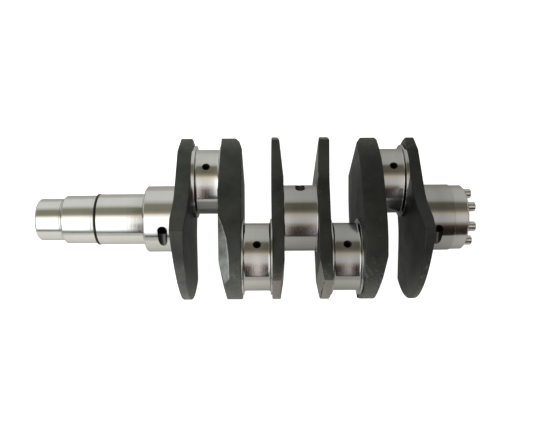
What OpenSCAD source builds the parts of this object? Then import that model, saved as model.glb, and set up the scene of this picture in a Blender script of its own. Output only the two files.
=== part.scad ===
// Crankshaft of a flat four-cylinder engine: three large main journals, a nose journal, four crankpins.
// The axis runs along X, with the flywheel end at +X. The origin is on the axis, at the middle of
// main journal 2. Crankpins 1 and 4 point to +Y, crankpins 2 and 3 to -Y. All sizes are millimetres.

/* [Journals] */
// Diameter of main journals 1, 2 and 3
main_d = 55; // [50:0.5:58]
// Diameter of the four crankpins
pin_d = 55; // [50:0.5:58]
// Distance from the crank axis to each crankpin's axis
crank_throw = 34.5; // [32:0.5:37]
// Length of the flywheel end's main journal
main_1_l = 24.4; // [22:0.1:30]
// Length of the centre main journal
main_2_l = 27.6; // [24:0.1:32]
// Length of the gear end's main journal
main_3_l = 25.4; // [22:0.1:30]
// Length of each crankpin between its webs, collars included
pin_l = 24.2; // [22:0.1:28]
// Radius of the fillet where a journal meets its web or collar
fillet_r = 2; // [1:0.5:3]

/* [Pin collars] */
// Diameter of the ground collars beside each crankpin
collar_d = 62; // [60:0.5:64]
// Thickness of the collar on an end web
collar_end_t = 2.8; // [1:0.1:3]
// Thickness of the collars on the other webs
collar_t = 1.4; // [1:0.1:3]

/* [Webs] */
// Diameter that the web tips and the counterweights are turned to
rim_d = 135; // [130:1:140]
// Thickness of web 1, beside the gear end's main journal
web_1_t = 12.2; // [9:0.1:13]
// Thickness of web 6, beside the flywheel end's main journal
web_6_t = 9.7; // [9:0.1:13]
// Thickness of webs 2 and 5, each between two crankpins
middle_web_t = 17.7; // [16:0.1:22]
// Thickness of webs 3 and 4, beside the centre main journal
centre_web_t = 9.5; // [8:0.1:12]
// Half the angle that a web's tip takes on the rim, in degrees
tip_angle = 23; // [20:1:26]
// Half the angle that a counterweight of webs 1 and 6 takes on the rim, in degrees
end_weight_angle = 59; // [50:1:62]
// Half the angle that a counterweight of webs 3 and 4 takes on the rim, in degrees
centre_weight_angle = 45; // [40:1:50]
// Half the height of the counterweighted webs at their narrow part
neck_h = 34; // [32:0.5:38]
// Half the height of webs 2 and 5 at their flat flanks
waist_h = 45; // [42:0.5:48]
// Distance from the axis to where those flanks end
waist_y = 30; // [25:1:35]

/* [Nose] */
// Diameter of the nose journal
nose_d = 40; // [38:0.5:41]
// Length of the nose journal
nose_l = 27.3; // [24:0.1:30]
// Diameter of the gear seat
gear_d = 42; // [41.5:0.5:46]
// Length of the gear seat
gear_l = 41; // [36:0.5:46]
// Diameter of the pulley seat
pulley_d = 35; // [30:0.5:37]
// Length of the pulley seat
pulley_l = 21.6; // [18:0.1:26]
// Width of the retaining ring's groove at the nose end of the gear seat
ring_groove_w = 1.85; // [1.6:0.05:2.2]
// Depth of that groove below the gear seat
ring_groove_depth = 2.2; // [1.6:0.1:2.6]
// Thickness of the retaining ring
ring_t = 1.3; // [1:0.05:1.5]
// How far the retaining ring stands out of the gear seat
ring_out = 0.4; // [0.2:0.1:0.8]
// Core diameter of the M20 x 1.5 thread for the pulley bolt
nose_thread_d = 18.4; // [16:0.1:20]
// Depth of that thread
nose_thread_l = 28; // [24:1:40]

/* [Flywheel end] */
// Diameter of the flywheel flange
flange_d = 53.5; // [52:0.5:54.5]
// Length of the flywheel flange
flange_l = 11.5; // [10:0.5:14]
// Chamfer around the flange's end face
flange_chamfer = 1.6; // [0.5:0.1:2]
// Core diameter of the M28 x 1.5 thread for the gland nut
gland_thread_d = 26.4; // [20:0.1:27]
// Depth of that thread
gland_thread_l = 30; // [24:1:40]
// Diameter of each dowel
dowel_d = 8; // [7:0.5:8]
// Diameter of the part of a dowel that is pressed into the flange
dowel_root_d = 8.4; // [8.4:0.1:9]
// Diameter of the circle that the dowels stand on
dowel_circle_d = 41.5; // [40:0.5:42]
// Length of each dowel
dowel_l = 17; // [14:0.5:18]
// Length of dowel that stands out of the flange
dowel_out = 6; // [4:0.5:8]

/* [Oil ways] */
// Diameter of the oil hole in each crankpin
pin_hole_d = 5; // [4:0.5:6]
// Diameter of the oil hole in each main journal
main_hole_d = 8; // [6:0.5:8]
// Extra width of the countersink round a crankpin's oil hole
countersink = 0.8; // [0.4:0.1:1.2]
// Diameter of the slanting galleries from the main journals to the crankpins
gallery_d = 5; // [4:0.5:6]
// Diameter of the plugs that close the galleries
plug_d = 7; // [6.5:0.5:8]
// Length of each plug
plug_l = 5; // [4:0.5:6]
// Distance from the centre to the oil hole of main journal 1
main_1_hole_x = 109.8; // [109:0.2:112]
// Distance from the centre to the oil hole of main journal 3
main_3_hole_x = 111.4; // [110:0.2:114]

/* [Hidden] */
round_fn = 96;
small_fn = 32;
main_r = main_d / 2;
pin_r = pin_d / 2;
collar_r = collar_d / 2;
rim_r = rim_d / 2;
nose_r = nose_d / 2;
gear_r = gear_d / 2;
pulley_r = pulley_d / 2;
flange_r = flange_d / 2;
dowel_n = 8;

// Stations along the axis, counted outwards from the centre on both sides
centre_web_x = main_2_l / 2;
inner_pin_x = centre_web_x + centre_web_t;
middle_web_x = inner_pin_x + pin_l;
outer_pin_x = middle_web_x + middle_web_t;
end_web_x = outer_pin_x + pin_l;

// Stations on the gear side, as distances from the centre
main_3_x = end_web_x + web_1_t;
gear_x = main_3_x + main_3_l;
nose_x = gear_x + gear_l;
pulley_x = nose_x + nose_l;
nose_end_x = pulley_x + pulley_l;

// Stations on the flywheel side
main_1_x = end_web_x + web_6_t;
flange_x = main_1_x + main_1_l;
flange_end_x = flange_x + flange_l;

// Bevels on the webs: how deep along the axis, and how far in from the rim
end_bevel = [5.2, 46];
end_tip_bevel = [3.6, 18];
web_3_bevel = [5.4, 46];
web_4_bevel = [3.6, 24];
centre_tip_bevel = [3.2, 20];
middle_inner_bevel = [6.7, 12];
middle_outer_bevel = [5.5, 20];
shaft_chamfer = 1.5;
journal_chamfer = 1.2;
relief = 0.4;
relief_w = 1.5;
cut_margin = 10;

// Half-moon keyways: width, cutter radius, depth below the seat, distance of the middle from the centre
pulley_key = [4, 9.5, 2.6, pulley_x + 10];
gear_key = [5, 11, 3.2, nose_x - 20];

// Where a main journal's oil hole leans, in degrees from +Z
end_hole_angle = 45;
centre_hole_angle = 38;
// The scoop beside it: how far its axis lies below the surface, its length and its narrowing on the way
scoop_sink = 0.4;
scoop_l = 17;
scoop_step = 0.1;
scoop_taper = 0.4;
main_hole_depth = 12;
main_feed_d = 5.9;

// The galleries start on the crank axis and pass through the middle of a crankpin
inner_pin_mid = (inner_pin_x + middle_web_x) / 2;
outer_pin_mid = (outer_pin_x + end_web_x) / 2;
inner_gallery_angle = atan2(crank_throw, inner_pin_mid);
gear_gallery_angle = atan2(crank_throw, main_3_hole_x - outer_pin_mid);
flywheel_gallery_angle = atan2(crank_throw, main_1_hole_x - outer_pin_mid);
gallery_l = 130;
// Distance along each gallery to the outer face of its plug
inner_plug_at = 85;
outer_plug_at = 84;

// ---- Shared shapes ----

// A solid of revolution about X, from a list of [radius, x] points
module turned(profile) {
    rotate([0, 90, 0])
        rotate_extrude($fn = round_fn)
            polygon(profile);
}

// A plain bar from x0 to x1, with a chamfer at each end where one is given
function bar(r, x0, x1, c0 = 0, c1 = 0) = concat(
    [[0, x0]],
    c0 > 0 ? [[r - c0, x0], [r, x0 + c0]] : [[r, x0]],
    c1 > 0 ? [[r, x1 - c1], [r - c1, x1]] : [[r, x1]],
    [[0, x1]]);

// The points of a hollow fillet that runs down to radius r, starting or ending at a face at x
function cove_down(r, x) = [for (a = [0 : 22.5 : 90])
    [r + fillet_r * (1 - sin(a)), x + fillet_r * (1 - cos(a))]];
function cove_up(r, x) = [for (a = [0 : 22.5 : 90])
    [r + fillet_r * (1 - cos(a)), x - fillet_r * (1 - sin(a))]];

// A crankpin's oil hole, straight up from the pin's own axis, with a countersunk mouth
module pin_hole(x) {
    translate([x, 0, 0])
        cylinder(h = pin_r + cut_margin, d = pin_hole_d, $fn = small_fn);
    translate([x, 0, pin_r - countersink])
        cylinder(h = 2 * countersink, d1 = pin_hole_d, d2 = pin_hole_d + 4 * countersink, $fn = small_fn);
}

// A main journal's oil hole, leaning by angle from +Z towards +Y, with a scoop milled along the tangent
// that leaves the journal further round
module main_hole(x, angle) {
    way = angle > 0 ? 1 : -1;
    scoop_r = main_hole_d / 2 - scoop_step;
    translate([x, 0, 0])
        rotate([-angle, 0, 0]) {
            translate([0, 0, main_r - main_hole_depth])
                cylinder(h = main_hole_depth + cut_margin, d = main_hole_d, $fn = small_fn);
            cylinder(h = main_r, d = main_feed_d, $fn = small_fn);
            translate([0, 0, main_r - scoop_sink])
                rotate([-90 * way, 0, 0])
                    cylinder(h = scoop_l, r1 = scoop_r, r2 = scoop_r - scoop_taper, $fn = small_fn);
        }
}

// A half-moon keyway in the underside of a seat
module keyway(key, seat_r) {
    translate([-key[3], -key[0] / 2, -(seat_r + key[1] - key[2])])
        rotate([-90, 0, 0])
            cylinder(h = key[0], r = key[1], $fn = round_fn);
}

// The slanting oil galleries: side is -1 on the gear side and +1 on the flywheel side
module inner_gallery(side) {
    rotate([0, 90, side > 0 ? -inner_gallery_angle : 180 + inner_gallery_angle]) {
        cylinder(h = gallery_l, d = gallery_d, $fn = small_fn);
        translate([0, 0, inner_plug_at - plug_l])
            cylinder(h = gallery_l - inner_plug_at + plug_l, d = plug_d, $fn = small_fn);
    }
}

module on_outer_gallery(side) {
    translate([side > 0 ? main_1_hole_x : -main_3_hole_x, 0, 0])
        rotate([0, 90, side > 0 ? 180 - flywheel_gallery_angle : gear_gallery_angle])
            children();
}

module outer_gallery(side) {
    on_outer_gallery(side) {
        cylinder(h = gallery_l, d = gallery_d, $fn = small_fn);
        translate([0, 0, outer_plug_at - plug_l])
            cylinder(h = gallery_l - outer_plug_at + plug_l, d = plug_d, $fn = small_fn);
    }
}

// ---- Webs ----

// A point on the rim, by its angle from the side that it is on
function on_rim(side, angle) = rim_r * [side * cos(angle), sin(angle)];

// The point that lies beyond b on the line from a, far outside the rim
function beyond(a, b) = b + (b - a) * reach / norm(b - a);

// An outline from the points of its upper half, mirrored for the lower half
function whole(upper) = concat(upper, [for (i = [len(upper) - 1 : -1 : 0]) [upper[i][0], -upper[i][1]]]);

reach = rim_r + cut_margin;
tip = on_rim(1, tip_angle);
end_neck = [2, neck_h];
centre_neck = [-20, neck_h];
end_outline = whole([beyond(end_neck, tip), end_neck, beyond(end_neck, on_rim(-1, end_weight_angle))]);
centre_outline = whole([beyond(centre_neck, tip), centre_neck,
    beyond(centre_neck, on_rim(-1, centre_weight_angle))]);
middle_outline = whole([beyond([waist_y, waist_h], tip), [waist_y, waist_h], [-waist_y, waist_h],
    beyond([-waist_y, waist_h], [-tip[0], tip[1]])]);

// A flat slab across the axis, with the outline's tip towards tip_side, turned to the rim's radius
module slab(x0, t, outline, tip_side) {
    intersection() {
        translate([x0, 0, 0])
            rotate([0, 90, 0])
                cylinder(h = t, r = rim_r, $fn = 2 * round_fn);
        translate([x0, 0, 0])
            rotate([90, 0, 90])
                linear_extrude(height = t)
                    polygon([for (p = outline) [p[0] * tip_side, p[1]]]);
    }
}

// A flat bevel across one end of a web: face_x is the bevelled face, out the way it looks along X,
// end the side of the axis, and size the bevel's depth and reach
module bevel(face_x, out, end, size) {
    y0 = end * (rim_r - size[1]);
    y1 = end * rim_r;
    y2 = end * (rim_r + cut_margin);
    back = face_x - out * size[0];
    front = face_x + out * cut_margin;
    translate([0, 0, -reach])
        linear_extrude(height = 2 * reach)
            polygon([[face_x, y0], [back, y1], [back, y2], [front, y2], [front, y0]]);
}

// Webs 1 and 6, with the crankpin towards +Y and the counterweight towards -Y
module end_web(side, t) {
    x_out = side * (end_web_x + t);
    difference() {
        slab(side > 0 ? end_web_x : -end_web_x - t, t, end_outline, 1);
        bevel(x_out, side, -1, end_bevel);
        bevel(x_out, side, 1, end_tip_bevel);
        outer_gallery(side);
    }
}

// Webs 2 and 5, between an inner crankpin and an outer one
module middle_web(side) {
    difference() {
        slab(side > 0 ? middle_web_x : -outer_pin_x, middle_web_t, middle_outline, 1);
        bevel(side * middle_web_x, -side, 1, middle_inner_bevel);
        bevel(side * outer_pin_x, side, -1, middle_outer_bevel);
        outer_gallery(side);
        inner_gallery(side);
    }
}

// Webs 3 and 4, with the crankpin towards -Y and the counterweight towards +Y
module centre_web(side) {
    difference() {
        slab(side > 0 ? centre_web_x : -inner_pin_x, centre_web_t, centre_outline, -1);
        bevel(side * centre_web_x, -side, 1, side > 0 ? web_4_bevel : web_3_bevel);
        bevel(side * centre_web_x, -side, -1, centre_tip_bevel);
        inner_gallery(side);
    }
}

// ---- Crankpins ----

// A crankpin with its two collars, on its own axis, from x0 to x1
module pin_blank(x0, x1, collar_0, collar_1) {
    turned(concat(
        [[0, x0], [collar_r, x0], [collar_r, x0 + collar_0]],
        cove_down(pin_r, x0 + collar_0),
        cove_up(pin_r, x1 - collar_1),
        [[collar_r, x1 - collar_1], [collar_r, x1], [0, x1]]));
}

module outer_crankpin(side) {
    x0 = side > 0 ? outer_pin_x : -end_web_x;
    difference() {
        translate([0, crank_throw, 0])
            difference() {
                pin_blank(x0, x0 + pin_l, side > 0 ? collar_t : collar_end_t,
                    side > 0 ? collar_end_t : collar_t);
                pin_hole(side * outer_pin_mid);
            }
        outer_gallery(side);
    }
}

module inner_crankpin(side) {
    x0 = side > 0 ? inner_pin_x : -middle_web_x;
    difference() {
        translate([0, -crank_throw, 0])
            difference() {
                pin_blank(x0, x0 + pin_l, collar_t, collar_t);
                pin_hole(side * inner_pin_mid);
            }
        inner_gallery(side);
    }
}

// ---- Main journals ----

module main_journal_1() {
    color([0.78, 0.78, 0.76])
        difference() {
            turned(concat([[0, main_1_x]], cove_down(main_r, main_1_x),
                [[main_r, flange_x], [0, flange_x]]));
            main_hole(main_1_hole_x, -end_hole_angle);
            outer_gallery(1);
            translate([flange_end_x - gland_thread_l, 0, 0])
                rotate([0, 90, 0])
                    cylinder(h = gland_thread_l, d = gland_thread_d, $fn = round_fn);
        }
}

module main_journal_2() {
    color([0.78, 0.78, 0.76])
        difference() {
            turned(concat([[0, -centre_web_x]], cove_down(main_r, -centre_web_x),
                cove_up(main_r, centre_web_x), [[0, centre_web_x]]));
            main_hole(0, centre_hole_angle);
            inner_gallery(-1);
            inner_gallery(1);
        }
}

module main_journal_3() {
    color([0.78, 0.78, 0.76])
        difference() {
            turned(concat([[0, -gear_x], [main_r - journal_chamfer, -gear_x],
                [main_r, -gear_x + journal_chamfer]], cove_up(main_r, -main_3_x), [[0, -main_3_x]]));
            main_hole(-main_3_hole_x, -end_hole_angle);
            outer_gallery(-1);
        }
}

// ---- Nose ----

module gear_seat() {
    groove_x = -nose_x + ring_groove_w;
    color([0.76, 0.76, 0.74])
        difference() {
            turned([[0, -nose_x], [gear_r - ring_groove_depth, -nose_x],
                [gear_r - ring_groove_depth, groove_x], [gear_r, groove_x],
                [gear_r, -gear_x - relief_w], [gear_r - relief, -gear_x - relief_w],
                [gear_r - relief, -gear_x], [0, -gear_x]]);
            keyway(gear_key, gear_r);
        }
}

// A snap ring with a gap on the underside, against the groove's nose end
module retaining_ring() {
    ring_gap = 3;
    inner_r = gear_r - ring_groove_depth;
    color([0.1, 0.1, 0.1])
        difference() {
            turned([[inner_r, -nose_x], [gear_r + ring_out, -nose_x],
                [gear_r + ring_out, -nose_x + ring_t], [inner_r, -nose_x + ring_t]]);
            translate([-nose_x - cut_margin, -ring_gap / 2, -gear_r - cut_margin])
                cube([2 * cut_margin, ring_gap, gear_r]);
        }
}

module nose_thread() {
    translate([-nose_end_x, 0, 0])
        rotate([0, 90, 0]) {
            cylinder(h = nose_thread_l, d = nose_thread_d, $fn = round_fn);
            translate([0, 0, nose_thread_l])
                cylinder(h = nose_thread_d / 4, d1 = nose_thread_d, d2 = 0, $fn = round_fn);
        }
}

module nose_journal() {
    color([0.78, 0.78, 0.76])
        difference() {
            turned(bar(nose_r, -pulley_x, -nose_x, shaft_chamfer, 0));
            nose_thread();
        }
}

module pulley_seat() {
    color([0.76, 0.76, 0.74])
        difference() {
            turned([[0, -nose_end_x], [pulley_r - shaft_chamfer, -nose_end_x],
                [pulley_r, -nose_end_x + shaft_chamfer], [pulley_r, -pulley_x - relief_w],
                [pulley_r - relief, -pulley_x - relief_w], [pulley_r - relief, -pulley_x],
                [0, -pulley_x]]);
            nose_thread();
            keyway(pulley_key, pulley_r);
        }
}

// ---- Flywheel end ----

// The dowels' axes stand on the throw axis and every 45 degrees from it
module at_dowel(i) {
    rotate([360 * (i - 1) / dowel_n, 0, 0])
        translate([flange_end_x + dowel_out - dowel_l, dowel_circle_d / 2, 0])
            rotate([0, 90, 0])
                children();
}

module flywheel_flange() {
    color([0.78, 0.78, 0.76])
        difference() {
            turned(bar(flange_r, flange_x, flange_end_x, 0, flange_chamfer));
            translate([flange_x, 0, 0])
                rotate([0, 90, 0])
                    cylinder(h = flange_l, d = gland_thread_d, $fn = round_fn);
            for (i = [1 : dowel_n])
                at_dowel(i)
                    cylinder(h = dowel_l, d = dowel_root_d, $fn = small_fn);
        }
}

module flywheel_dowel(i) {
    edge = 0.6;
    color([0.72, 0.72, 0.72])
        at_dowel(i)
            rotate_extrude($fn = small_fn)
                polygon([[0, 0], [dowel_root_d / 2, 0], [dowel_root_d / 2, dowel_l - dowel_out],
                    [dowel_d / 2, dowel_l - dowel_out], [dowel_d / 2, dowel_l - edge],
                    [dowel_d / 2 - edge, dowel_l], [0, dowel_l]]);
}

// ---- Oil plugs ----

// The plugs press into the galleries' outer ends, in webs 2 and 5
module outer_oil_plug(side) {
    color([0.55, 0.55, 0.56])
        on_outer_gallery(side)
            translate([0, 0, outer_plug_at - plug_l])
                cylinder(h = plug_l, d = plug_d, $fn = small_fn);
}

module inner_oil_plug(side) {
    color([0.55, 0.55, 0.56])
        rotate([0, 90, side > 0 ? -inner_gallery_angle : 180 + inner_gallery_angle])
            translate([0, 0, inner_plug_at - plug_l])
                cylinder(h = plug_l, d = plug_d, $fn = small_fn);
}

// ---- The finished pieces ----

module forged() {
    color([0.2, 0.21, 0.2])
        children();
}

module ground() {
    color([0.78, 0.78, 0.76])
        children();
}

pulley_seat();
nose_journal();
gear_seat();
main_journal_3();
forged() end_web(-1, web_1_t);  // web_1
ground() outer_crankpin(-1);  // crankpin_1
forged() middle_web(-1);  // web_2
ground() inner_crankpin(-1);  // crankpin_2
forged() centre_web(-1);  // web_3
main_journal_2();
forged() centre_web(1);  // web_4
ground() inner_crankpin(1);  // crankpin_3
forged() middle_web(1);  // web_5
ground() outer_crankpin(1);  // crankpin_4
forged() end_web(1, web_6_t);  // web_6
main_journal_1();
flywheel_flange();
flywheel_dowel(1);  // flywheel_dowel_1
flywheel_dowel(2);  // flywheel_dowel_2
flywheel_dowel(3);  // flywheel_dowel_3
flywheel_dowel(4);  // flywheel_dowel_4
flywheel_dowel(5);  // flywheel_dowel_5
flywheel_dowel(6);  // flywheel_dowel_6
flywheel_dowel(7);  // flywheel_dowel_7
flywheel_dowel(8);  // flywheel_dowel_8
outer_oil_plug(-1);  // oil_plug_1
inner_oil_plug(-1);  // oil_plug_2
inner_oil_plug(1);  // oil_plug_3
outer_oil_plug(1);  // oil_plug_4
retaining_ring();
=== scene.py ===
"""Looks of a flat four-cylinder engine's crankshaft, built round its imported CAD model.

Sizes are millimetres until a mesh is made. The crank's axis is X, with the flywheel end at +X. Crankpins
1 and 4 point to +Y, crankpins 2 and 3 to -Y.
"""
import math

import bmesh
import bpy
from mathutils import Matrix, Vector


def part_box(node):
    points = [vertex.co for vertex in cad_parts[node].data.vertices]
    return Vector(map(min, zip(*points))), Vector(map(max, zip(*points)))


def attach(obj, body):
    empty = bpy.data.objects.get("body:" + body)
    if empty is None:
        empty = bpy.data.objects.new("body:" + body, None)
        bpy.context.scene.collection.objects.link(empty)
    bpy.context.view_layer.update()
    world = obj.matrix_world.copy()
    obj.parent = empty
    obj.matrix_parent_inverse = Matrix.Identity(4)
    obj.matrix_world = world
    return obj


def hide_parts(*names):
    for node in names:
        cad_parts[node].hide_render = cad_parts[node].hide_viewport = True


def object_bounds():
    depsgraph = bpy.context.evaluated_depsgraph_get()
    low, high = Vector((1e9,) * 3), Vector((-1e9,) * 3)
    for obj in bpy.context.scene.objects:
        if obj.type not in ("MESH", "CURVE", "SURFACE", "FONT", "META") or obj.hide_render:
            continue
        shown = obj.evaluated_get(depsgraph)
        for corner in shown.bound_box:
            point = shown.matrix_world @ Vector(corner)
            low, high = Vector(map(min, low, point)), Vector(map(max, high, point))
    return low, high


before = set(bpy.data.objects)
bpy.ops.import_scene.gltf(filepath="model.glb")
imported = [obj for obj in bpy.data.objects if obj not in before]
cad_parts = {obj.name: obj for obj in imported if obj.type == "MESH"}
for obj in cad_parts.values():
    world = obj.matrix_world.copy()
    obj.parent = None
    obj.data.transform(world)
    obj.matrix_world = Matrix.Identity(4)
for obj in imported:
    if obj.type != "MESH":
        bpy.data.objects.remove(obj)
cad_low, cad_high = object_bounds()

M = 0.001  # one millimetre, in metres
TURNS = 256  # facets round a journal
SMALL_TURNS = 64  # facets round a dowel, a plug or a drill
SHARP = math.radians(32)


# ---- Sizes, read from the CAD nodes ----

def span(node):
    """Where a node starts and ends along the axis, in millimetres."""
    low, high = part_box(node)
    return low.x / M, high.x / M


def height_r(node):
    """Half of a node's height, which is a turned node's largest radius."""
    low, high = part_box(node)
    return (high.z - low.z) / 2 / M


def middle_y(node):
    """How far a turned node's own axis lies to +Y."""
    low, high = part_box(node)
    return (high.y + low.y) / 2 / M


RIM_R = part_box("web_2")[1].y / M
WAIST_H = height_r("web_2")
RING_R = height_r("retaining_ring")
MAIN_R = 27.5
PIN_R = 27.5
COLLAR_R = height_r("crankpin_1")
NOSE_R = height_r("nose_journal")
GEAR_R = height_r("gear_seat")
PULLEY_R = height_r("pulley_seat")
FLANGE_R = height_r("flywheel_flange")
FILLET_R = 2.0
TIP_ANGLE = 23.0
END_WEIGHT_ANGLE = 59.0
CENTRE_WEIGHT_ANGLE = 45.0
NECK_H = 34.0
END_NECK_Y = 2.0
CENTRE_NECK_Y = -20.0
WAIST_Y = 30.0
GEAR_HOLE_X = -111.4
FLYWHEEL_HOLE_X = 109.8
MAIN_HOLE_R = 4.0
END_HOLE_ANGLE = -45  # degrees from +Z towards +Y
CENTRE_HOLE_ANGLE = 38
SCOOP_SINK, SCOOP_L, SCOOP_STEP, SCOOP_TAPER = 0.4, 17.0, 0.1, 0.4
COLLAR_END_T = 2.8
COLLAR_T = 1.4
JOURNAL_CHAMFER = 1.2
SHAFT_CHAMFER = 1.5
FLANGE_CHAMFER = 1.6
RELIEF, RELIEF_START, RELIEF_END = 0.4, 1.5, 1.3  # depth, and where its slope starts and ends
RING_GROOVE_W, RING_GROOVE_DEPTH, RING_GAP = 1.85, 2.2, 3.0
GLAND_THREAD_R, GLAND_THREAD_L = 13.2, 30.0  # core radius and depth
NOSE_THREAD_R, NOSE_THREAD_L = 9.2, 28.0
THREAD_PITCH = 1.5
PULLEY_KEY = (4.0, 9.5, 2.6)  # width, cutter radius, depth
GEAR_KEY = (5.0, 11.0, 3.2)
PULLEY_KEY_AT, GEAR_KEY_AT = 10.0, 20.0  # from the seat's shoulder, and from its nose end
DOWELS = 8
DOWEL_STEP = 0.2  # how much smaller the part that shows is than the pressed part, in radius
DOWEL_EDGE = 0.6
PLUG_R = height_r("oil_plug_1")
PLUG_L = 5.0
PLUG_BORE_L = 14.0
WEB_EDGE = 0.8


# ---- Mesh helpers ----

def corner_arc(a, p, b, radius):
    """The points that round the corner at p, between a and b, to a radius."""
    u, v = (Vector(a) - Vector(p)), (Vector(b) - Vector(p))
    reach = min(u.length, v.length) * 0.49
    u.normalize()
    v.normalize()
    half = u.angle(v) / 2
    if radius <= 0 or half > math.radians(89):
        return [tuple(p)]
    back = min(radius / math.tan(half), reach)
    radius = back * math.tan(half)
    centre = Vector(p) + (u + v).normalized() * (radius / math.sin(half))
    start, end = Vector(p) + u * back - centre, Vector(p) + v * back - centre
    steps = max(2, math.ceil((math.pi - 2 * half) / math.radians(11)))
    turn = start.angle_signed(end)
    points = []
    for i in range(steps + 1):
        angle = -turn * i / steps
        spun = Matrix.Rotation(angle, 2) @ start
        points.append(tuple(centre + spun))
    return points


def rounded(corners, closed=False):
    """A path through (x, y, radius) corners with each corner rounded."""
    points = []
    count = len(corners)
    for i, (x, y, radius) in enumerate(corners):
        if not closed and i in (0, count - 1):
            points.append((x, y))
            continue
        a, b = corners[i - 1][:2], corners[(i + 1) % count][:2]
        points += corner_arc(a, (x, y), b, radius)
    return points


def new_object(name, bm, materials):
    """An object from a bmesh in millimetres, smooth but for its sharp edges."""
    bmesh.ops.scale(bm, vec=(M, M, M), verts=bm.verts)
    bmesh.ops.recalc_face_normals(bm, faces=bm.faces)
    mesh = bpy.data.meshes.new(name)
    bm.to_mesh(mesh)
    bm.free()
    obj = bpy.data.objects.new(name, mesh)
    bpy.context.scene.collection.objects.link(obj)
    for material in materials:
        mesh.materials.append(material)
    return smooth(obj)


def smooth(obj):
    """Smooth shading, but for edges past the sharp angle."""
    obj.data.polygons.foreach_set("use_smooth", [True] * len(obj.data.polygons))
    obj.data.set_sharp_from_angle(angle=SHARP)
    return obj


def lathe_bm(profile, turns=TURNS):
    """A solid of revolution about X from (x, radius) points. A radius of zero closes on the axis."""
    bm = bmesh.new()
    rings = []
    for x, r in profile:
        if r < 1e-6:
            rings.append([bm.verts.new((x, 0, 0))])
            continue
        ring = []
        for i in range(turns):
            a = 2 * math.pi * i / turns
            ring.append(bm.verts.new((x, r * math.cos(a), r * math.sin(a))))
        rings.append(ring)
    for one, two in zip(rings, rings[1:]):
        for i in range(turns):
            j = (i + 1) % turns
            if len(one) == 1:
                bm.faces.new((one[0], two[i], two[j]))
            elif len(two) == 1:
                bm.faces.new((one[i], two[0], one[j]))
            else:
                bm.faces.new((one[i], two[i], two[j], one[j]))
    return bm


def bake_modifiers(obj):
    """Turns the object's modifiers into plain mesh."""
    graph = bpy.context.evaluated_depsgraph_get()
    mesh = bpy.data.meshes.new_from_object(obj.evaluated_get(graph))
    obj.modifiers.clear()
    old, obj.data = obj.data, mesh
    bpy.data.meshes.remove(old)


def cut(obj, cutter):
    """Cuts a closed shape out of an object; the cut faces keep the cutter's material."""
    modifier = obj.modifiers.new("cut", "BOOLEAN")
    modifier.operation = "DIFFERENCE"
    modifier.solver = "EXACT"
    modifier.object = cutter
    modifier.material_mode = "TRANSFER"
    bake_modifiers(obj)
    bpy.data.objects.remove(cutter)
    smooth(obj)


def finish_piece(obj, slot, *nodes):
    """Hands a finished piece over, in place of its CAD nodes."""
    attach(obj, "root")
    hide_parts(*nodes)


# ---- Materials ----

class Nodes:
    """A short way to write a material's nodes."""

    def __init__(self, name):
        self.material = bpy.data.materials.new(name)
        self.material.use_nodes = True
        self.tree = self.material.node_tree
        self.shader = self.tree.nodes["Principled BSDF"]

    def add(self, kind, inputs=None, **settings):
        node = self.tree.nodes.new(kind)
        for key, value in settings.items():
            setattr(node, key, value)
        for key, value in (inputs or {}).items():
            if isinstance(value, bpy.types.NodeSocket):
                self.tree.links.new(value, node.inputs[key])
            else:
                node.inputs[key].default_value = value
        return node

    def coords(self, scale=(1, 1, 1)):
        place = self.add("ShaderNodeTexCoord").outputs["Object"]
        mapping = self.add("ShaderNodeMapping", {"Vector": place, "Scale": scale})
        return mapping.outputs["Vector"]

    def along(self, axis):
        """The place along one axis of the crank, in metres."""
        return self.add("ShaderNodeSeparateXYZ", {"Vector": self.coords()}).outputs[axis]

    def noise(self, vector, scale, detail=3.0, roughness=0.5):
        node = self.add("ShaderNodeTexNoise", {"Vector": vector, "Scale": scale, "Detail": detail,
                                               "Roughness": roughness})
        return node.outputs["Fac"]

    def ramp(self, factor, stops):
        node = self.add("ShaderNodeValToRGB", {"Fac": factor})
        elements = node.color_ramp.elements
        while len(elements) < len(stops):
            elements.new(0.5)
        for element, (position, value) in zip(elements, stops):
            element.position = position
            element.color = (*value, 1) if hasattr(value, "__len__") else (value, value, value, 1)
        return node.outputs["Color"]

    def span(self, value, low, high, to_low, to_high):
        node = self.add("ShaderNodeMapRange", {"Value": value, "From Min": low, "From Max": high,
                                               "To Min": to_low, "To Max": to_high})
        return node.outputs["Result"]

    def mix(self, factor, one, two, blend="MIX"):
        node = self.add("ShaderNodeMix", data_type="RGBA", blend_type=blend)
        for socket, value in ((0, factor), (6, one), (7, two)):
            if isinstance(value, bpy.types.NodeSocket):
                self.tree.links.new(value, node.inputs[socket])
            elif hasattr(value, "__len__"):
                node.inputs[socket].default_value = (*value, 1)
            else:
                node.inputs[socket].default_value = value
        return node.outputs[2]

    def bump(self, height, strength, distance):
        node = self.add("ShaderNodeBump", {"Height": height, "Strength": strength, "Distance": distance})
        self.tree.links.new(node.outputs["Normal"], self.shader.inputs["Normal"])

    def set(self, **values):
        for key, value in values.items():
            socket = self.shader.inputs[key.replace("_", " ")]
            if isinstance(value, bpy.types.NodeSocket):
                self.tree.links.new(value, socket)
            elif hasattr(value, "__len__"):
                socket.default_value = (*value, 1)
            else:
                socket.default_value = value


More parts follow.
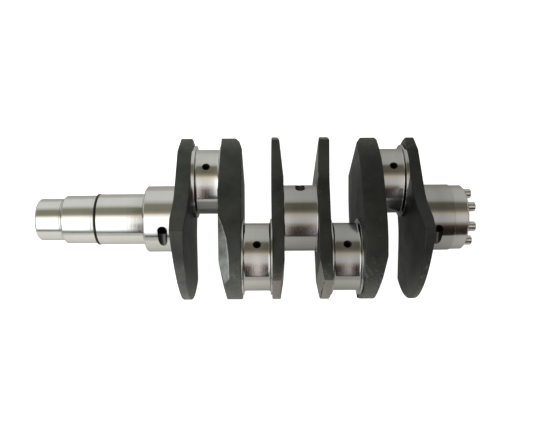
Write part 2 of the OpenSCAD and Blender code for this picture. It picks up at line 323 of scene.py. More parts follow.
def ground_steel(name, colour, roughness, line_depth, under=1.0, radius=MAIN_R):
    """Cylindrically ground steel: fine lines round the axis, faint haze and stains, and painted shade that
    draws each piece brighter or darker along the axis, dimmer towards the flywheel end. Under is painted
    light or shade on the side turned to the floor: how much brighter or darker the steel is drawn there."""
    n = Nodes(name)
    lines = n.noise(n.coords((2600, 30, 30)), 1.0, 2.0)
    haze = n.noise(n.coords((30, 60, 60)), 1.0, 4.0)
    stain = n.noise(n.coords((90, 25, 25)), 1.0, 5.0, 0.6)
    tint = n.mix(n.span(stain, 0.35, 0.75, 0.0, 0.4), colour, [c * 0.84 for c in colour])
    # Painted shade and light: each piece along the axis is drawn brighter or darker, dimmer towards the
    # flywheel end.
    painted_axis_shade = n.ramp(n.span(n.along("X"), -0.2, 0.14, 0.0, 1.0), [
        (0.15, 1.0), (0.3, 1.0), (0.37, 1.05), (0.485, 0.78), (0.59, 0.64), (0.69, 0.58), (0.815, 0.72),
        (0.92, 0.58), (0.98, 0.74)])
    tint = n.mix(1.0, tint, painted_axis_shade, "MULTIPLY")
    # Painted light or shade on the underside: below about half the radius the steel is drawn under times as
    # bright.
    low, high = radius * 0.42 * M, radius * 0.5 * M
    tint = n.mix(1.0, tint, n.span(n.along("Z"), low, high, under, 1.0), "MULTIPLY")
    n.set(Base_Color=tint, Metallic=1.0, Roughness=n.span(haze, 0.3, 0.75, *roughness),
          Specular_Tint=(0.62, 0.62, 0.62))
    n.bump(lines, 0.3, line_depth)
    return n.material


def forged_steel(name, base, light, rough, bump_height):
    """Dark scale on a forging: mottled and pitted, with light scuffs. Painted shade draws it darker towards
    the flywheel end, and a painted sheen lightens the far ends of the webs.
    """
    n = Nodes(name)
    mottle = n.noise(n.coords(), 38.0, 6.0, 0.62)
    grain = n.noise(n.coords(), 900.0, 3.0, 0.6)
    scuff = n.noise(n.coords((1, 1, 2.5)), 160.0, 5.0, 0.7)
    tone = n.ramp(mottle, [(0.3, base), (0.72, light)])
    # Painted shade: the webs are drawn darker towards the flywheel end.
    shade = n.ramp(n.span(n.along("X"), -0.1, 0.1, 0.0, 1.0), [
        (0.0, 0.95), (0.2, 0.8), (0.4, 0.7), (0.6, 0.5), (0.8, 0.45), (1.0, 0.36)])
    tone = n.mix(1.0, tone, shade, "MULTIPLY")
    far = n.add("ShaderNodeMath", {0: n.along("Y")}, operation="ABSOLUTE").outputs[0]
    # Painted sheen: faces far from the axis in Y are drawn lighter, up to 2.7 times at the rims' tips.
    ends = n.ramp(n.span(far, 0.03, 0.0675, 0.0, 1.0), [(0.0, 1.0), (0.5, 1.1), (1.0, 2.7)])
    tone = n.mix(1.0, tone, ends, "MULTIPLY")
    worn = n.mix(n.span(scuff, 0.62, 0.75, 0.0, 0.3), tone, [c * 2.0 for c in light])
    speck = n.span(n.noise(n.coords(), 380.0, 3.0, 0.6), 0.56, 0.66, 0.0, 0.3)
    speck_share = n.add("ShaderNodeMath", {0: speck, 1: n.span(far, 0.045, 0.064, 0.0, 1.0)},
                        operation="MULTIPLY").outputs[0]
    worn = n.mix(speck_share, worn, (0.24, 0.24, 0.23))
    n.set(Base_Color=worn, Metallic=0.25, Specular_IOR_Level=0.12,
          Roughness=n.span(mottle, 0.3, 0.7, rough, rough + 0.14))
    n.bump(n.mix(0.35, mottle, grain), 0.5, bump_height)
    return n.material


def plain_metal(name, colour, rough, metallic=1.0, grain_scale=600.0):
    """Cut metal with a fine grain in its colour, gloss and surface."""
    n = Nodes(name)
    grain = n.noise(n.coords(), grain_scale, 3.0)
    n.set(Base_Color=n.mix(n.span(grain, 0.3, 0.7, 0, 1), colour, [c * 0.8 for c in colour]),
          Metallic=metallic, Roughness=n.span(grain, 0.3, 0.7, rough, rough + 0.1))
    n.bump(grain, 0.2, 0.00005)
    return n.material


def hand_ground(name, dark, bright):
    """Where a web was ground by hand for balance: brighter and more scratched towards its tip."""
    n = Nodes(name)
    patch = n.noise(n.coords(), 130.0, 5.0, 0.65)
    scratch = n.noise(n.coords((1, 0.2, 1)), 900.0, 3.0)
    near_tip = n.span(n.along("Y"), -0.012, -0.05, 0.0, 0.55)
    share = n.add("ShaderNodeMath", {0: near_tip, 1: n.span(patch, 0.35, 0.7, -0.15, 0.5)}).outputs[0]
    n.set(Base_Color=n.mix(share, dark, bright), Metallic=0.35,
          Roughness=n.span(scratch, 0.3, 0.7, 0.35, 0.55))
    n.bump(n.mix(0.5, patch, scratch), 0.5, 0.0002)
    return n.material


JOURNAL_TINT, JOURNAL_ROUGH, JOURNAL_LINES = (0.55, 0.555, 0.54), (0.08, 0.15), 0.00003
journal_steel = ground_steel("ground_journal_steel", JOURNAL_TINT, JOURNAL_ROUGH, JOURNAL_LINES)
# The last number is painted light or shade on the underside: main journal 3, the inner pins, the seats and
# the flange are drawn brighter there, the outer pins darker.
main_3_steel = ground_steel("gear_end_main_steel", JOURNAL_TINT, JOURNAL_ROUGH, JOURNAL_LINES, 1.45)
outer_pin_steel = ground_steel("pin_steel_painted_dark_below", JOURNAL_TINT, JOURNAL_ROUGH, JOURNAL_LINES, 0.4)
inner_pin_steel = ground_steel("pin_steel_painted_bright_below", JOURNAL_TINT, JOURNAL_ROUGH, JOURNAL_LINES, 1.4)
SEAT_ROUGH, SEAT_LINES = (0.10, 0.18), 0.00005
seat_steel = ground_steel("turned_seat_steel", (0.60, 0.605, 0.59), SEAT_ROUGH, SEAT_LINES, 1.5, NOSE_R)
flange_steel = ground_steel("turned_flange_steel", (0.64, 0.645, 0.63), SEAT_ROUGH, SEAT_LINES, 1.05)
web_scale = forged_steel("forged_web_scale", (0.030, 0.033, 0.029), (0.068, 0.074, 0.067), 0.38, 0.0002)
web_rim = forged_steel("turned_rim_scale", (0.036, 0.038, 0.036), (0.078, 0.081, 0.077), 0.34, 0.0001)
cheek_steel = plain_metal("faced_cheek_steel", (0.25, 0.24, 0.225), 0.42, 0.45, 900.0)
ground_patch = hand_ground("hand_ground_steel", (0.07, 0.075, 0.072), (0.44, 0.47, 0.465))
# Near black, as painted shade inside the drilled holes, the bores and main journal 2's scoop.
drilled_steel = plain_metal("drilled_hole_steel", (0.016, 0.014, 0.012), 0.6, 0.6)
scoop_steel = plain_metal("scoop_steel", (0.10, 0.105, 0.10), 0.32, 0.9)
thread_steel = plain_metal("cut_thread_steel", (0.45, 0.45, 0.44), 0.3)
dowel_steel = plain_metal("dowel_steel", (0.52, 0.52, 0.52), 0.16)
plug_metal = plain_metal("oil_plug_metal", (0.45, 0.45, 0.46), 0.35)
ring_steel = plain_metal("blackened_ring_steel", (0.03, 0.03, 0.032), 0.35, 0.7)


# ---- Turned pieces ----

def lathe_object(name, profile, material, matrix, turns=SMALL_TURNS):
    """A turned shape of one material, moved from the X axis to its place."""
    bm = lathe_bm(profile, turns)
    bmesh.ops.transform(bm, matrix=matrix, verts=bm.verts)
    return new_object(name, bm, [material])


def leaning(x, y, angle):
    """Turns +X to lean by angle from +Z towards +Y, on an axis at x and y."""
    turn = Matrix.Rotation(math.radians(-angle), 4, "X") @ Matrix.Rotation(-math.pi / 2, 4, "Y")
    return Matrix.Translation((x, y, 0)) @ turn


def drill_pin(pin, x, y):
    """A crankpin's oil hole, with a countersunk mouth."""
    hole_r, countersink, depth, over = 2.5, 0.8, 20.0, 4.0
    mouth_r = hole_r + countersink
    profile = [(PIN_R - depth, 0), (PIN_R - depth, hole_r), (PIN_R - countersink, hole_r),
               (PIN_R, mouth_r), (PIN_R + over, mouth_r + over), (PIN_R + over, 0)]
    cut(pin, lathe_object("drill", profile, drilled_steel, leaning(x, y, 0)))


def drill_main(journal, x, angle, scoop_finish):
    """A main journal's oil hole, with the scoop milled along the tangent beside it."""
    depth, over = 14.0, 6.0
    way = 1 if angle > 0 else -1
    scoop_r = MAIN_HOLE_R - SCOOP_STEP
    place = leaning(x, 0, angle) @ Matrix.Translation((MAIN_R - SCOOP_SINK, 0, 0))
    scoop = [(0, 0), (0, scoop_r), (SCOOP_L, scoop_r - SCOOP_TAPER), (SCOOP_L, 0)]
    along = place @ Matrix.Rotation(way * math.pi / 2, 4, "Z")
    cut(journal, lathe_object("scoop", scoop, scoop_finish, along))
    bore = [(MAIN_R - depth, 0), (MAIN_R - depth, MAIN_HOLE_R), (MAIN_R + over, MAIN_HOLE_R),
            (MAIN_R + over, 0)]
    cut(journal, lathe_object("drill", bore, drilled_steel, leaning(x, 0, angle)))


def cut_keyway(seat, middle_x, seat_r, key):
    """A half-moon keyway in the underside of a seat."""
    width, cutter_r, depth = key
    half = width / 2
    profile = rounded([(-half, 0, 0), (-half, cutter_r, 0.2), (half, cutter_r, 0.2), (half, 0, 0)])
    place = Matrix.Translation((middle_x, 0, -(seat_r + cutter_r - depth)))
    turn = Matrix.Rotation(math.pi / 2, 4, "Z")
    cut(seat, lathe_object("key_cutter", profile, seat_steel, place @ turn, 128))


def thread_cutter(x0, x1, core_r, pitch):
    """A closed cutter with a helical thread on it; x1 is its mouth, which may be on either side of x0."""
    depth, around = 0.61 * pitch, 96
    steps = int(abs(x1 - x0) / pitch * 6)
    bm = bmesh.new()
    rings = []
    for i in range(steps + 1):
        x = x0 + (x1 - x0) * i / steps
        ring = []
        for j in range(around):
            turn = (x / pitch - j / around) % 1.0
            r = core_r + depth * (1 - abs(2 * turn - 1))
            a = 2 * math.pi * j / around
            ring.append(bm.verts.new((x, r * math.cos(a), r * math.sin(a))))
        rings.append(ring)
    for one, two in zip(rings, rings[1:]):
        for j in range(around):
            k = (j + 1) % around
            bm.faces.new((one[j], two[j], two[k], one[k]))
    bm.faces.new(rings[-1])
    point = bm.verts.new((x0 - math.copysign(core_r / 2, x1 - x0), 0, 0))
    for j in range(around):
        bm.faces.new((rings[0][j], rings[0][(j + 1) % around], point))
    return new_object("thread_cutter", bm, [thread_steel])


def turned_piece(name, corners, material, y_axis=0.0):
    """A piece turned from (x, radius, rounding) corners, on an axis at y_axis."""
    bm = lathe_bm(rounded(corners))
    bmesh.ops.translate(bm, vec=(0, y_axis, 0), verts=bm.verts)
    return new_object(name, bm, [material])


def crankpin(number, collar_0, collar_1):
    """A crankpin with the two ground collars beside it, given by their thicknesses."""
    node = f"crankpin_{number}"
    x0, x1 = span(node)
    y = middle_y(node)
    corners = [(x0, 0, 0), (x0, COLLAR_R, 0), (x0 + collar_0, COLLAR_R, 0.4),
               (x0 + collar_0, PIN_R, FILLET_R), (x1 - collar_1, PIN_R, FILLET_R),
               (x1 - collar_1, COLLAR_R, 0.4), (x1, COLLAR_R, 0), (x1, 0, 0)]
    finish = outer_pin_steel if y > 0 else inner_pin_steel
    pin = turned_piece(f"crankpin-{number}", corners, finish, y_axis=y)
    drill_pin(pin, (x0 + x1) / 2, y)
    finish_piece(pin, "ground_journal", node)


crankpin(1, COLLAR_END_T, COLLAR_T)
crankpin(2, COLLAR_T, COLLAR_T)
crankpin(3, COLLAR_T, COLLAR_T)
crankpin(4, COLLAR_T, COLLAR_END_T)


def gland_thread():
    """Cuts the thread for the flywheel's gland nut."""
    end = span("flywheel_flange")[1]
    return thread_cutter(end - GLAND_THREAD_L, end + 1.0, GLAND_THREAD_R, THREAD_PITCH)


def nose_thread():
    """Cuts the thread for the pulley bolt."""
    end = span("pulley_seat")[0]
    return thread_cutter(end + NOSE_THREAD_L, end - 1.0, NOSE_THREAD_R, THREAD_PITCH)


def main_journals():
    """The three large main journals, from the nose to the flywheel."""
    x0, x1 = span("main_journal_3")
    main_3 = turned_piece("main-journal-3", [
        (x0, 0, 0), (x0, MAIN_R - JOURNAL_CHAMFER, 0.3), (x0 + JOURNAL_CHAMFER, MAIN_R, 0.4),
        (x1, MAIN_R, FILLET_R), (x1, MAIN_R + FILLET_R, 0), (x1, 0, 0)], main_3_steel)
    drill_main(main_3, GEAR_HOLE_X, END_HOLE_ANGLE, scoop_steel)
    finish_piece(main_3, "ground_journal", "main_journal_3")

    x0, x1 = span("main_journal_2")
    main_2 = turned_piece("main-journal-2", [
        (x0, 0, 0), (x0, MAIN_R + FILLET_R, 0), (x0, MAIN_R, FILLET_R), (x1, MAIN_R, FILLET_R),
        (x1, MAIN_R + FILLET_R, 0), (x1, 0, 0)], journal_steel)
    drill_main(main_2, 0, CENTRE_HOLE_ANGLE, drilled_steel)
    finish_piece(main_2, "ground_journal", "main_journal_2")

    x0, x1 = span("main_journal_1")
    main_1 = turned_piece("main-journal-1", [
        (x0, 0, 0), (x0, MAIN_R + FILLET_R, 0), (x0, MAIN_R, FILLET_R), (x1, MAIN_R, 0.3),
        (x1, 0, 0)], journal_steel)
    drill_main(main_1, FLYWHEEL_HOLE_X, END_HOLE_ANGLE, scoop_steel)
    cut(main_1, gland_thread())
    finish_piece(main_1, "ground_journal", "main_journal_1")


main_journals()


def nose():
    """The stepped nose: the pulley's seat, the small journal, and the gears' seat with its ring."""
    x0, x1 = span("pulley_seat")
    pulley = turned_piece("pulley-seat", [
        (x0, 0, 0), (x0, PULLEY_R - SHAFT_CHAMFER, 0.3), (x0 + SHAFT_CHAMFER, PULLEY_R, 0.4),
        *seat_relief(x1, PULLEY_R)], seat_steel)
    cut_keyway(pulley, x1 - PULLEY_KEY_AT, PULLEY_R, PULLEY_KEY)
    cut(pulley, nose_thread())
    finish_piece(pulley, "turned_steel", "pulley_seat")

    line_depth, line_start, line_slope, line_end = 0.15, 2.4, 2.2, 0.5
    x0, x1 = span("nose_journal")
    journal = turned_piece("nose-journal", [
        (x0, 0, 0), (x0, NOSE_R - SHAFT_CHAMFER, 0.3), (x0 + SHAFT_CHAMFER, NOSE_R, 0.4),
        (x1 - line_start, NOSE_R, 0.1), (x1 - line_slope, NOSE_R - line_depth, 0.05),
        (x1 - line_end, NOSE_R - line_depth, 0.1), (x1, NOSE_R - 0.6, 0.0), (x1, 0, 0)], seat_steel)
    cut(journal, nose_thread())
    finish_piece(journal, "turned_steel", "nose_journal")

    x0, x1 = span("gear_seat")
    groove_r = GEAR_R - RING_GROOVE_DEPTH
    gear = turned_piece("gear-seat", [
        (x0, 0, 0), (x0, groove_r, 0), (x0 + RING_GROOVE_W, groove_r, 0.1),
        (x0 + RING_GROOVE_W, GEAR_R, 0.25), *seat_relief(x1, GEAR_R)], seat_steel)
    cut_keyway(gear, x0 + GEAR_KEY_AT, GEAR_R, GEAR_KEY)
    finish_piece(gear, "turned_steel", "gear_seat")
    retaining_ring(groove_r)


def seat_relief(shoulder_x, seat_r):
    """The shallow undercut at a seat's shoulder, and the end face there."""
    return [(shoulder_x - RELIEF_START, seat_r, 0.1), (shoulder_x - RELIEF_END, seat_r - RELIEF, 0.1),
            (shoulder_x, seat_r - RELIEF, 0), (shoulder_x, 0, 0)]


def retaining_ring(inner_r):
    """A snap ring, open on the underside."""
    turns = 160
    x0, x1 = span("retaining_ring")
    half = math.asin(RING_GAP / 2 / inner_r)
    section = rounded([(x0, inner_r, 0.15), (x1, inner_r, 0.15), (x1, RING_R, 0.3), (x0, RING_R, 0.3)],
                      closed=True)
    bm = bmesh.new()
    rings = []
    for i in range(turns + 1):
        a = -math.pi / 2 + half + (2 * math.pi - 2 * half) * i / turns
        rings.append([bm.verts.new((x, r * math.cos(a), r * math.sin(a))) for x, r in section])
    for one, two in zip(rings, rings[1:]):
        for j in range(len(section)):
            k = (j + 1) % len(section)
            bm.faces.new((one[j], two[j], two[k], one[k]))
    bm.faces.new(rings[0])
    bm.faces.new(rings[-1])
    finish_piece(new_object("retaining-ring", bm, [ring_steel]), "black_ring", "retaining_ring")


nose()


def ring_of_copies():
    """A node tree that repeats the piece it is on round the X axis."""
    tree = bpy.data.node_groups.new("ring_of_copies", "GeometryNodeTree")
    tree.interface.new_socket("Geometry", in_out="INPUT", socket_type="NodeSocketGeometry")
    tree.interface.new_socket("Count", in_out="INPUT", socket_type="NodeSocketInt")
    tree.interface.new_socket("Circle Radius", in_out="INPUT", socket_type="NodeSocketFloat")
    tree.interface.new_socket("Material", in_out="INPUT", socket_type="NodeSocketMaterial")
    tree.interface.new_socket("Geometry", in_out="OUTPUT", socket_type="NodeSocketGeometry")
    source, sink = tree.nodes.new("NodeGroupInput"), tree.nodes.new("NodeGroupOutput")
    circle = tree.nodes.new("GeometryNodeMeshCircle")
    tree.links.new(source.outputs["Count"], circle.inputs["Vertices"])
    tree.links.new(source.outputs["Circle Radius"], circle.inputs["Radius"])
    stand = tree.nodes.new("GeometryNodeTransform")
    stand.inputs["Rotation"].default_value = (0, math.pi / 2, 0)
    tree.links.new(circle.outputs["Mesh"], stand.inputs["Geometry"])
    copies = tree.nodes.new("GeometryNodeInstanceOnPoints")
    tree.links.new(stand.outputs["Geometry"], copies.inputs["Points"])
    tree.links.new(source.outputs["Geometry"], copies.inputs["Instance"])
    real = tree.nodes.new("GeometryNodeRealizeInstances")
    tree.links.new(copies.outputs["Instances"], real.inputs["Geometry"])
    paint = tree.nodes.new("GeometryNodeSetMaterial")
    tree.links.new(real.outputs["Geometry"], paint.inputs["Geometry"])
    tree.links.new(source.outputs["Material"], paint.inputs["Material"])
    tree.links.new(paint.outputs["Geometry"], sink.inputs["Geometry"])
    return tree


def flywheel_dowels():
    """Eight dowels pressed into the flange on one circle; returns the circle's and the holes' radius."""
    root_r, circle_r = height_r("flywheel_dowel_1"), middle_y("flywheel_dowel_1")
    start, end = span("flywheel_dowel_1")
    face = span("flywheel_flange")[1]
    pin_r = root_r - DOWEL_STEP
    profile = rounded([(start, 0, 0), (start, root_r, 0.2), (face, root_r, 0), (face, pin_r, 0),
                       (end - DOWEL_EDGE, pin_r, 0.3), (end, pin_r - DOWEL_EDGE, 0.2), (end, 0, 0)])
    dowels = new_object("flywheel-dowels", lathe_bm(profile, SMALL_TURNS), [dowel_steel])
    tree = ring_of_copies()
    modifier = dowels.modifiers.new("ring", "NODES")
    modifier.node_group = tree
    sockets = {item.name: item.identifier for item in tree.interface.items_tree if item.in_out == "INPUT"}
    modifier[sockets["Count"]] = DOWELS
    modifier[sockets["Circle Radius"]] = circle_r * M
    modifier[sockets["Material"]] = dowel_steel
    bake_modifiers(dowels)
    smooth(dowels)
    finish_piece(dowels, "dowel_steel", *[f"flywheel_dowel_{i}" for i in range(1, DOWELS + 1)])
    return circle_r, root_r


def flywheel_flange(circle_r, root_r):
    """The flange, drilled for the dowels."""
    x0, x1 = span("flywheel_flange")
    flange = turned_piece("flywheel-flange", [
        (x0, 0, 0), (x0, FLANGE_R, 0), (x1 - FLANGE_CHAMFER, FLANGE_R, 0.4),
        (x1, FLANGE_R - FLANGE_CHAMFER, 0.3), (x1, 0, 0)], flange_steel)
    for i in range(DOWELS):
        a = 2 * math.pi * i / DOWELS
        hole = [(x0 - 1, 0), (x0 - 1, root_r), (x1 - 0.4, root_r), (x1 + 1, root_r + 1.2), (x1 + 1, 0)]
        place = Matrix.Translation((0, circle_r * math.cos(a), circle_r * math.sin(a)))
        cut(flange, lathe_object("dowel_hole", hole, drilled_steel, place))
    cut(flange, gland_thread())
    finish_piece(flange, "turned_steel", "flywheel_flange")


flywheel_flange(*flywheel_dowels())


# ---- Webs ----

def rim_arc(side, angle, steps):
    """Rim points on one side of the axis, from the underside to the top, as (y, z, no rounding)."""
    points = []
    for i in range(1, steps):
        a = math.radians(angle * (2 * i / steps - 1))
        points.append((side * RIM_R * math.cos(a), RIM_R * math.sin(a), 0))
    return points


def web_outline(other_angle, necks, turn=1):
    """Goes round a web: the tip's arc, the top flank's corners, the other end's arc, and back below."""
    tip_a, other_a = math.radians(TIP_ANGLE), math.radians(other_angle)
    tip = (RIM_R * math.cos(tip_a), RIM_R * math.sin(tip_a), 2.5)
    other = (-RIM_R * math.cos(other_a), RIM_R * math.sin(other_a), 2.5)
    top = [tip, *necks, other]
    below = [(y, -z, r) for y, z, r in reversed(top)]
    back = list(reversed(rim_arc(-1, other_angle, 56)))
    corners = rim_arc(1, TIP_ANGLE, 24) + top + back + below
    return [(y * turn, z) for y, z in rounded(corners, closed=True)]


def slice_off(bm, point, normal, material_index):
    """Cuts away what lies beyond a plane and closes the cut."""
    found = bmesh.ops.bisect_plane(bm, geom=bm.verts[:] + bm.edges[:] + bm.faces[:], plane_co=point,
                                   plane_no=normal, clear_outer=True, dist=1e-5)
    rim = [e for e in found["geom_cut"] if isinstance(e, bmesh.types.BMEdge)]
    for face in bmesh.ops.contextual_create(bm, geom=rim)["faces"]:
        face.material_index = material_index


def web_piece(number, outline, bevels, patches=(), plugs=(), light_ends=False):
    """A web from its outline. Each bevel is (face side, end side, depth, reach, finish), each patch a
    hand-ground flat as (point, normal), and plugs are the oil plugs that it needs bores for."""
    node = f"web_{number}"
    x0, x1 = span(node)
    bm = bmesh.new()
    rings = [[bm.verts.new((x, y, z)) for y, z in outline] for x in (x0, x1)]
    bm.faces.new(rings[0])
    bm.faces.new(list(reversed(rings[1])))
    for i in range(len(outline)):
        j = (i + 1) % len(outline)
        bm.faces.new((rings[0][i], rings[1][i], rings[1][j], rings[0][j]))
    for face_side, end_side, depth, reach, finish in bevels:
        face_x = x1 if face_side > 0 else x0
        normal = Vector((face_side * reach, end_side * depth, 0)).normalized()
        slice_off(bm, Vector((face_x, end_side * (RIM_R - reach), 0)), normal, finish)
    for point, normal in patches:
        slice_off(bm, Vector(point), Vector(normal).normalized(), PATCH)
    web = new_object(f"web-{number}", bm, [web_scale, web_rim, cheek_steel, ground_patch])
    for plug in plugs:
        cut(web, plug_bore(plug))
    paint_rim(web, light_ends)
    bevel = web.modifiers.new("edge", "BEVEL")
    bevel.width = WEB_EDGE * M
    bevel.segments = 3
    bevel.limit_method = "ANGLE"
    bevel.angle_limit = math.radians(13)
    bevel.use_clamp_overlap = False
    bevel.harden_normals = True
    bake_modifiers(web)
    finish_piece(web, "forged_web", node)


def paint_rim(web, light_ends):
    """Gives the turned rim its own finish, and the ends of the centre webs a lighter one."""
    rim_depth, end_depth = 0.5, 4.5
    for face in web.data.polygons:
        centre = face.center
        on_rim = math.hypot(centre.y, centre.z) > (RIM_R - rim_depth) * M
        if on_rim and abs(face.normal.x) < 0.5:
            at_end = abs(centre.y) > (RIM_R - end_depth) * M
            face.material_index = LIGHT if light_ends and at_end else RIM


def plug_place(number):
    """Turns +X at the origin into an oil plug's place, along its gallery and outwards."""
    low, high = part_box(f"oil_plug_{number}")
    middle = (low + high) / 2 / M
    start = {1: GEAR_HOLE_X, 2: 0.0, 3: 0.0, 4: FLYWHEEL_HOLE_X}[number]
    way = (middle - Vector((start, 0, 0))).normalized()
    return Matrix.Translation(middle) @ way.to_track_quat("X", "Z").to_matrix().to_4x4()


def plug_bore(number):
    """The bore that a plug sits in, out past the web's rim."""
    profile = [(-PLUG_L / 2, 0), (-PLUG_L / 2, PLUG_R), (PLUG_BORE_L, PLUG_R), (PLUG_BORE_L, 0)]
    return lathe_object("plug_bore", profile, drilled_steel, plug_place(number))


def oil_plug(number):
    """A pressed plug with a dished face."""
    half, lip, dish = PLUG_L / 2, 1.2, 2.2
    profile = rounded([(-half, 0, 0), (-half, PLUG_R, 0.3), (half, PLUG_R, 0.5), (half, PLUG_R - lip, 0.3),
                       (half - lip, PLUG_R - dish, 0.4), (half - lip, 0, 0)])
    plug = lathe_object(f"oil-plug-{number}", profile, plug_metal, plug_place(number))
    finish_piece(plug, "plug_metal", f"oil_plug_{number}")


END_OUTLINE = web_outline(END_WEIGHT_ANGLE, [(END_NECK_Y, NECK_H, 40)])
CENTRE_OUTLINE = web_outline(CENTRE_WEIGHT_ANGLE, [(CENTRE_NECK_Y, NECK_H, 25)], -1)
MIDDLE_OUTLINE = web_outline(TIP_ANGLE, [(WAIST_Y, WAIST_H, 70), (-WAIST_Y, WAIST_H, 70)])
SCALE, RIM, LIGHT, PATCH = range(4)  # a web's finishes, in the order of its material slots
BALANCE_PATCH = ((-65.2, -18, 44), (-0.70, -0.375, 0.606))

web_piece(1, END_OUTLINE, [(-1, -1, 5.2, 46, SCALE), (-1, 1, 3.6, 18, SCALE)])
web_piece(2, MIDDLE_OUTLINE, [(1, 1, 4.6, 20, SCALE), (1, 1, 9.0, 13, SCALE), (-1, -1, 5.5, 20, SCALE)],
          patches=[BALANCE_PATCH], plugs=(1, 2))
web_piece(3, CENTRE_OUTLINE, [(1, 1, 5.4, 46, LIGHT), (1, 1, 6.4, 12, LIGHT),
                              (1, -1, 3.2, 20, LIGHT), (1, -1, 5.0, 8, LIGHT)], light_ends=True)
web_piece(4, CENTRE_OUTLINE, [(-1, 1, 0.7, 47, LIGHT), (-1, 1, 3.6, 24, LIGHT), (-1, 1, 5.2, 9, LIGHT),
                              (-1, -1, 3.2, 20, LIGHT), (-1, -1, 5.0, 8, LIGHT)], light_ends=True)
web_piece(5, MIDDLE_OUTLINE, [(-1, 1, 6.7, 12, SCALE), (1, 1, 3.2, 9, SCALE), (1, -1, 5.5, 20, SCALE),
                              (-1, -1, 2.4, 6, SCALE)], plugs=(3, 4))
web_piece(6, END_OUTLINE, [(1, -1, 5.2, 46, SCALE), (1, 1, 3.6, 18, SCALE)])
for plug_number in range(1, 5):
    oil_plug(plug_number)


# ---- Floor, light and camera ----

def floor():
    """A pale plane under the crank, brighter to the camera than to the steel."""
    bm = bmesh.new()
    bmesh.ops.create_grid(bm, x_segments=1, y_segments=1, size=3.0 / M)
    plane = new_object("floor", bm, [])
    plane.location.z = cad_low.z
    n = Nodes("pale_floor")
    seen = n.add("ShaderNodeLightPath").outputs["Is Camera Ray"]
    n.set(Base_Color=(0.72, 0.72, 0.71), Roughness=0.95, Emission_Color=(1, 1, 1),
          Emission_Strength=n.span(seen, 0.0, 1.0, 0.12, 0.9))
    plane.data.materials.append(n.material)


class Sky(Nodes):
    """The same short way, for the world's light."""

    def __init__(self):
        world = bpy.data.worlds.new("studio")
        bpy.context.scene.world = world
        world.use_nodes = True
        self.tree = world.node_tree
        self.shader = self.tree.nodes["Background"]

    def ramp_between(self, source, low, high, stops):
        """A colour picked by a source that runs from low to high; each stop is (its value, colour)."""
        share = self.span(source, low, high, 0.0, 1.0)
        return self.ramp(share, [((value - low) / (high - low), colour) for value, colour in stops])


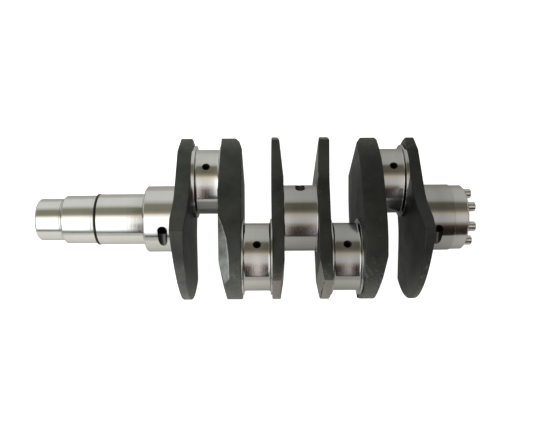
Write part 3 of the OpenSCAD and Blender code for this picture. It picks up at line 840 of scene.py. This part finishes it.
def studio_world():
    """A wrap of soft light round the crank's axis. The nose sees a bright window, the rest a dimmer room,
    and the inner crankpins a pale card; the camera sees a plain backdrop."""
    sky = Sky()
    coords = sky.add("ShaderNodeTexCoord").outputs["Generated"]
    way = sky.add("ShaderNodeSeparateXYZ", {"Vector": coords}).outputs
    flip = sky.add("ShaderNodeMath", {0: way["Y"], 1: -1.0}, operation="MULTIPLY").outputs[0]
    turn = sky.add("ShaderNodeMath", {0: flip, 1: way["Z"]}, operation="ARCTAN2").outputs[0]

    def around(stops):
        """Light by its direction: each stop is (degrees from straight up towards -Y, colour)."""
        return sky.ramp_between(turn, -math.pi, math.pi, [(math.radians(d), colour) for d, colour in stops])

    window = around([
        (-180, (0.95, 0.95, 0.93)), (-48, (0.96, 0.96, 0.93)), (-36, (0.7, 0.7, 0.62)),
        (-27, (0.33, 0.33, 0.25)), (-6, (0.33, 0.31, 0.23)), (3, (0.5, 0.43, 0.33)),
        (11, (1.5, 1.4, 1.25)), (22, (2.2, 2.2, 2.1)), (70, (2.2, 2.25, 2.2)), (78, (1.2, 1.25, 1.25)),
        (84, (0.22, 0.24, 0.23)), (91, (0.3, 0.32, 0.3)), (100, (1.15, 1.18, 1.13)),
        (180, (1.0, 1.0, 0.98))])
    room = around([
        (-180, (0.75, 0.75, 0.72)), (-48, (0.8, 0.8, 0.76)), (-36, (0.7, 0.69, 0.62)),
        (-27, (0.22, 0.21, 0.16)), (-6, (0.20, 0.18, 0.13)), (3, (0.40, 0.34, 0.26)),
        (12, (0.95, 0.84, 0.68)), (24, (1.0, 0.95, 0.92)), (38, (0.9, 0.88, 0.9)),
        (47, (0.45, 0.38, 0.34)), (56, (0.12, 0.07, 0.05)), (68, (0.05, 0.03, 0.025)),
        (90, (0.04, 0.04, 0.03)), (100, (0.6, 0.6, 0.57))])
    card = around([
        (-180, (0.75, 0.75, 0.72)), (-48, (0.8, 0.8, 0.76)), (-36, (0.7, 0.69, 0.62)),
        (-27, (0.30, 0.29, 0.24)), (-6, (0.30, 0.28, 0.23)), (3, (0.5, 0.44, 0.37)),
        (13, (1.2, 1.12, 1.05)), (30, (1.6, 1.48, 1.42)), (62, (1.55, 1.36, 1.33)), (84, (1.15, 1.02, 1.0)),
        (91, (0.25, 0.22, 0.2)), (99, (0.2, 0.19, 0.17)), (107, (0.6, 0.6, 0.57))])
    black, white, backdrop = (0, 0, 0), (1, 1, 1), (0.95, 0.95, 0.95)
    card_share = sky.ramp_between(way["X"], -0.2, 0.2, [
        (-0.044, black), (-0.036, white), (-0.002, white), (0.006, black), (0.102, black), (0.110, white),
        (0.134, white), (0.142, black)])
    room_share = sky.add("ShaderNodeMapRange", {"Value": way["X"], "From Min": -0.175, "From Max": -0.125},
                         interpolation_type="SMOOTHSTEP").outputs["Result"]
    light = sky.mix(room_share, window, sky.mix(card_share, room, card))
    seen = sky.add("ShaderNodeLightPath").outputs["Is Camera Ray"]
    sky.set(Color=sky.mix(seen, light, backdrop))


def camera():
    """Above the crank and to its near side, a little towards the nose."""
    across = -27.7
    distance = 546.0
    elevation = math.radians(66.3)
    drop = math.atan(0.008)
    roll = math.radians(0.37)
    back = Vector((0, -math.cos(elevation), math.sin(elevation)))
    data = bpy.data.cameras.new("camera")
    data.sensor_width = 36.0
    data.lens = 43.9024
    data.clip_start, data.clip_end = 0.02, 20.0
    obj = bpy.data.objects.new("camera", data)
    bpy.context.scene.collection.objects.link(obj)
    obj.location = Vector((across, 0, 0)) * M + back * distance * M
    look = (-back).to_track_quat("-Z", "Y").to_matrix()
    obj.rotation_mode = "QUATERNION"
    turn = look @ Matrix.Rotation(drop, 3, "X") @ Matrix.Rotation(-roll, 3, "Z")
    obj.rotation_quaternion = turn.to_quaternion()
    bpy.context.scene.camera = obj


floor()
studio_world()
camera()
bpy.context.scene.view_settings.view_transform = "Standard"
